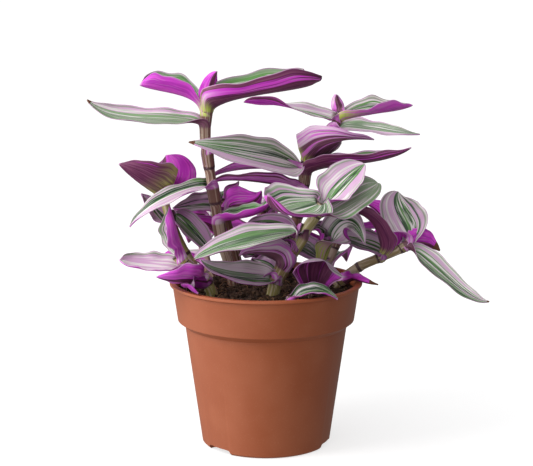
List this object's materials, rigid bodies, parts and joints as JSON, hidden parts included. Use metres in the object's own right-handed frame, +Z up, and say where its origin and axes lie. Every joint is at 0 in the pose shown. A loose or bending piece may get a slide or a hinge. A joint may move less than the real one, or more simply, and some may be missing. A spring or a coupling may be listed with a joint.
{
  "type": "potted plant",
  "caption": "Bushy tradescantia with pink and green striped leaves in a round tapered plastic nursery pot filled with potting soil.",
  "frame": {"origin": "middle of the pot's underside, on the surface that it stands on", "axes": "+Z up along the pot's axis; -Y towards the front of the plant, as pictured; +X to the viewer's right"},
  "size_m": [0.2471, 0.1644, 0.2363],
  "materials": {
    "pot_plastic": "terracotta-coloured polypropylene with a soft sheen",
    "potting_soil": null,
    "leaf": null
  },
  "bodies": {
    "root": {"pot": "pot_plastic", "soil": "potting_soil", "stem_tall_left": "leaf", "stem_leaning_right": "leaf", "stem_front": "leaf", "stem_left": "leaf", "stem_front_left": "leaf", "stem_middle_right": "leaf", "shoot_hooded": "leaf", "shoot_front": "leaf", "stem_right": "leaf", "stem_behind_left": "leaf", "stem_behind_middle": "leaf", "stem_behind_right": "leaf", "stem_far_left": "leaf"}
  },
  "joints": []
}
